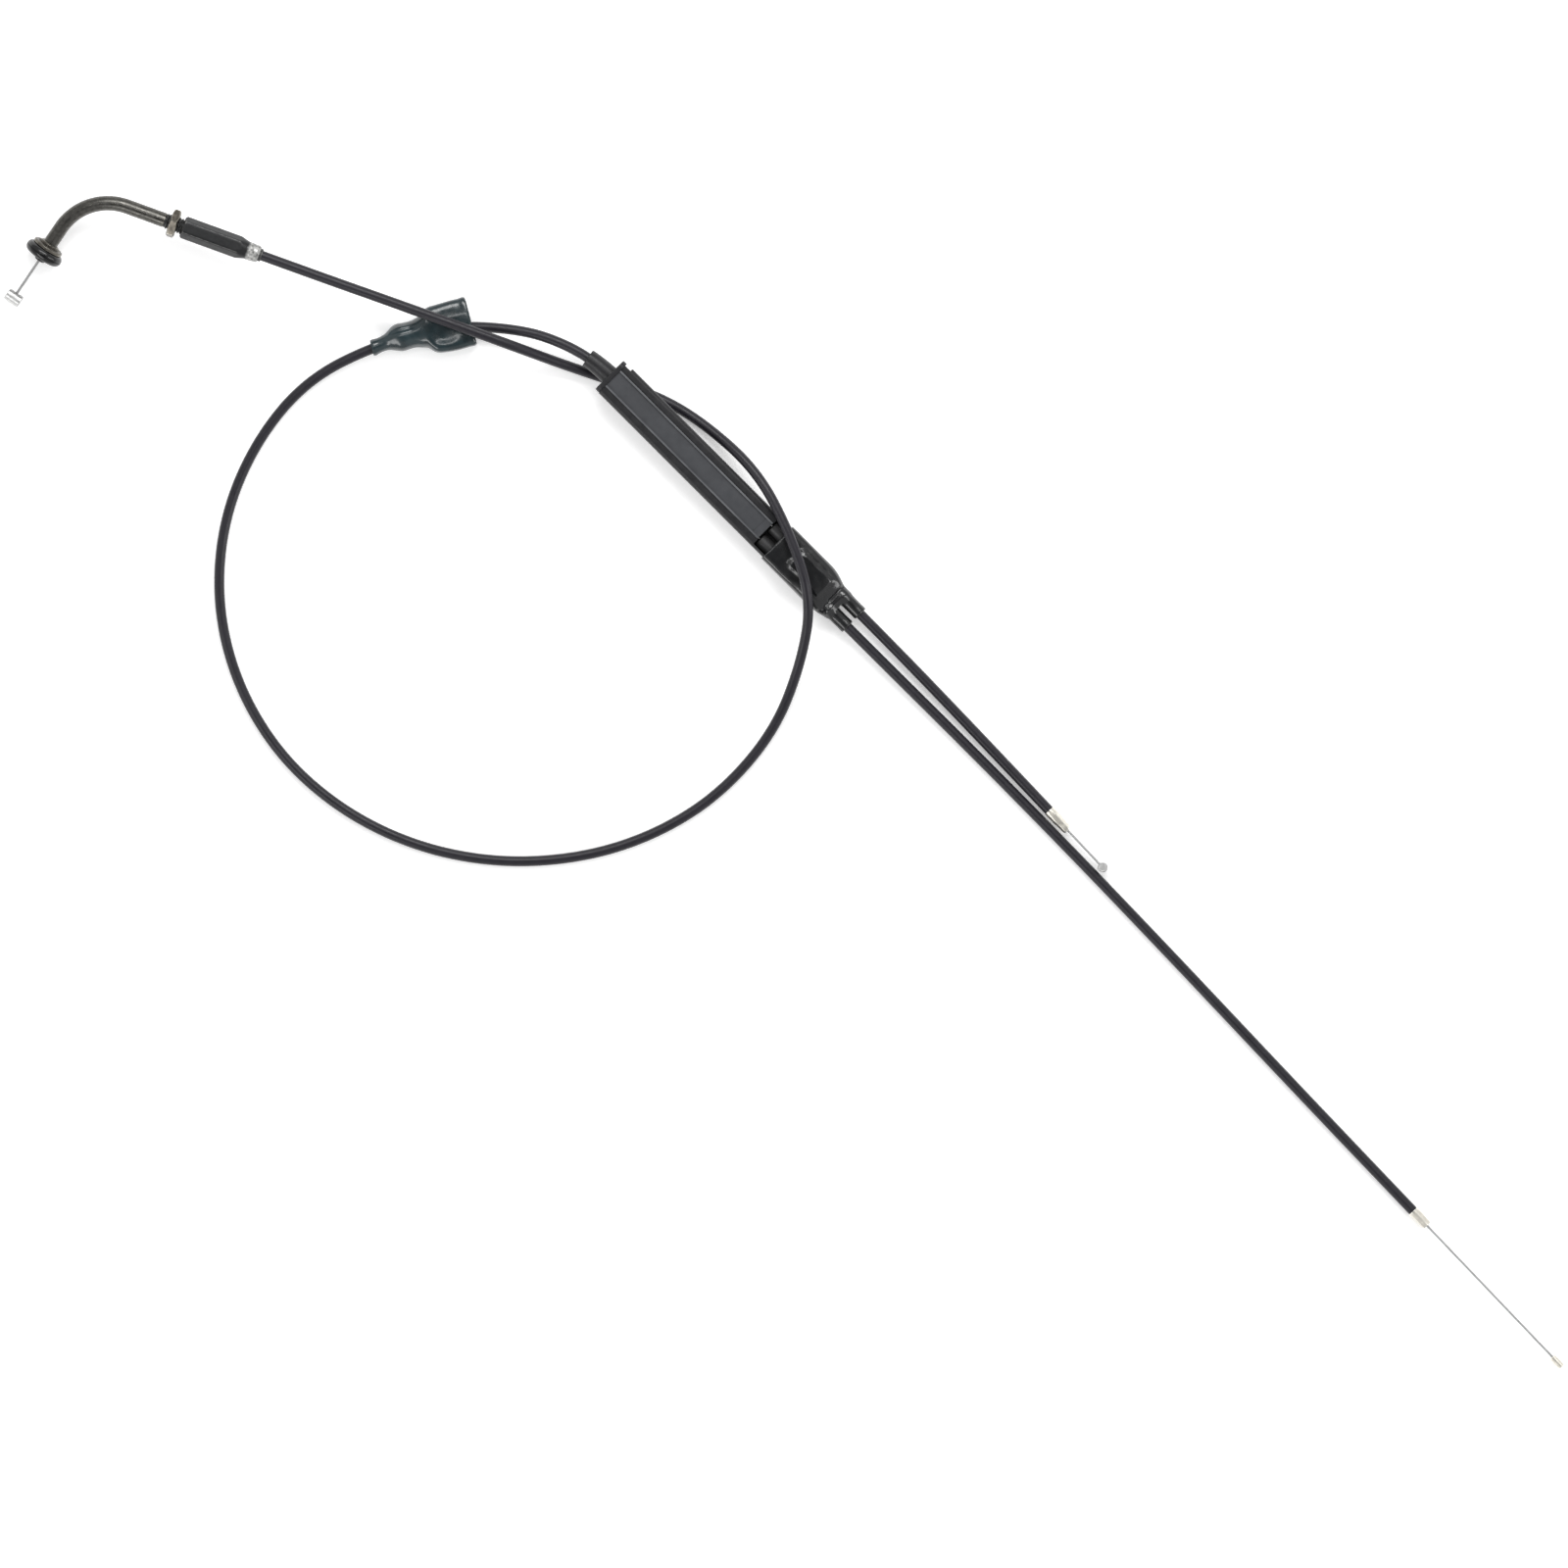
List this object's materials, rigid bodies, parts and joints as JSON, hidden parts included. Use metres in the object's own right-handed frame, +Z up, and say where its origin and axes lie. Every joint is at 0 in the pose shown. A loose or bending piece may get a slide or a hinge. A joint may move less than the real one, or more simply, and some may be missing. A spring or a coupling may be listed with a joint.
{
  "type": "motorcycle throttle cable",
  "caption": "Throttle cable with a bent elbow and adjuster at the grip end, a splitter box, and separate cables to the carburettor and the oil pump.",
  "frame": {"origin": "on the floor under the middle of the box round the rigid pieces (elbow, adjuster and splitter)", "axes": "+X along the splitter box towards the carburettor end, +Y away from the loop of the cable, +Z up"},
  "size_m": [0.9207, 0.2674, 0.0239],
  "materials": {
    "jacket_black": "satin black extruded jacket with a faint grain",
    "conduit_steel": "wound flat steel wire, hidden",
    "wire_steel": "bright stranded steel wire",
    "elbow_zinc": "dark zinc plating, semi-gloss",
    "flange_steel": "dark plated steel with a worn rim",
    "grommet_rubber": "black rubber, satin",
    "bush_nylon": "black nylon",
    "nut_zinc": "yellowed grey zinc plating",
    "sleeve_oxide": "black oxide, worn bright on the collar",
    "case_plastic": "black moulded plastic, fine grain",
    "lid_plastic": "dark grey moulded plastic, fine grain",
    "plug_plastic": "black moulded plastic",
    "slider_acetal": "natural acetal, hidden",
    "boot_rubber": "glossy moulded rubber with a teal cast",
    "ferrule_nickel": "warm bright nickel plating",
    "nipple_zinc": "bright cast zinc"
  },
  "bodies": {
    "cable": {"throttle_ferrule_upper": "sleeve_oxide", "throttle_sheath": "jacket_black", "throttle_conduit": "conduit_steel", "throttle_wire_run": "wire_steel", "splitter_case": "case_plastic", "splitter_lid": "lid_plastic", "splitter_top_cap": "case_plastic", "throttle_ferrule_lower": "ferrule_nickel", "lower_end_plug": "case_plastic", "carb_ferrule_upper": "plug_plastic", "pump_ferrule_upper": "plug_plastic", "lower_boot": "boot_rubber", "carb_sheath": "jacket_black", "carb_conduit": "conduit_steel", "carb_wire_run": "wire_steel", "carb_ferrule_lower": "ferrule_nickel", "pump_sheath": "jacket_black", "pump_conduit": "conduit_steel", "pump_wire_run": "wire_steel", "pump_ferrule_lower": "ferrule_nickel"},
    "adjuster": {"adjuster_sleeve": "sleeve_oxide"},
    "elbow": {"elbow_tube": "elbow_zinc", "elbow_flange": "flange_steel", "elbow_grommet": "grommet_rubber", "elbow_end_bush": "bush_nylon", "elbow_wire_run": "wire_steel"},
    "lock_nut": {"lock_nut": "nut_zinc"},
    "throttle_wire": {"throttle_wire_end": "wire_steel", "throttle_nipple": "nipple_zinc"},
    "slider": {"slider_block": "slider_acetal", "throttle_wire_tail": "wire_steel", "throttle_tail_nipple": "nipple_zinc", "carb_wire_head": "wire_steel", "carb_head_nipple": "nipple_zinc", "pump_wire_head": "wire_steel", "pump_head_nipple": "nipple_zinc"},
    "carb_wire": {"carb_wire_end": "wire_steel", "carb_nipple": "ferrule_nickel"},
    "pump_wire": {"pump_wire_end": "wire_steel", "pump_nipple": "nipple_zinc"},
    "upper_boot": {"upper_boot": "boot_rubber"}
  },
  "joints": [
    {"name": "adjuster_turn", "type": "hinge", "parent": "cable", "child": "adjuster", "pos_m": [-0.14557, -0.00375, 0.01645], "axis": [0.9063, 0.4226, 0], "range_deg": [-721, 2161]},
    {"name": "elbow_advance", "type": "slide", "parent": "cable", "child": "elbow", "axis": [-0.9063, -0.4226, 0], "range_m": [-0.0025, 0.0075]},
    {"name": "lock_nut_turn", "type": "hinge", "parent": "elbow", "child": "lock_nut", "pos_m": [-0.1637, -0.0122, 0.01645], "axis": [0.9063, 0.4226, 0], "continuous": true},
    {"name": "throttle_pull", "type": "slide", "parent": "elbow", "child": "throttle_wire", "axis": [0.1791, -0.9685, -0.1733], "range_m": [-0.015, 0.013]},
    {"name": "slider_travel", "type": "slide", "parent": "cable", "child": "slider", "axis": [-0.9993, 0, 0.0366], "range_m": [-0.015, 0.013]},
    {"name": "carb_wire_travel", "type": "slide", "parent": "cable", "child": "carb_wire", "axis": [-0.9997, 0.0228, 0], "range_m": [-0.015, 0.013]},
    {"name": "pump_wire_travel", "type": "slide", "parent": "cable", "child": "pump_wire", "axis": [-0.9994, 0.0288, -0.0169], "range_m": [-0.015, 0.013]},
    {"name": "upper_boot_slide", "type": "slide", "parent": "cable", "child": "upper_boot", "axis": [0.5045, 0.8633, 0.0175], "range_m": [-0.001, 0.0045]}
  ],
  "couplings": [
    {"joint": "adjuster_turn", "follows": "elbow_advance", "rad_per_m": 5026.5},
    {"joint": "slider_travel", "follows": "throttle_pull", "ratio": 1},
    {"joint": "carb_wire_travel", "follows": "throttle_pull", "ratio": 1},
    {"joint": "pump_wire_travel", "follows": "throttle_pull", "ratio": 1}
  ]
}
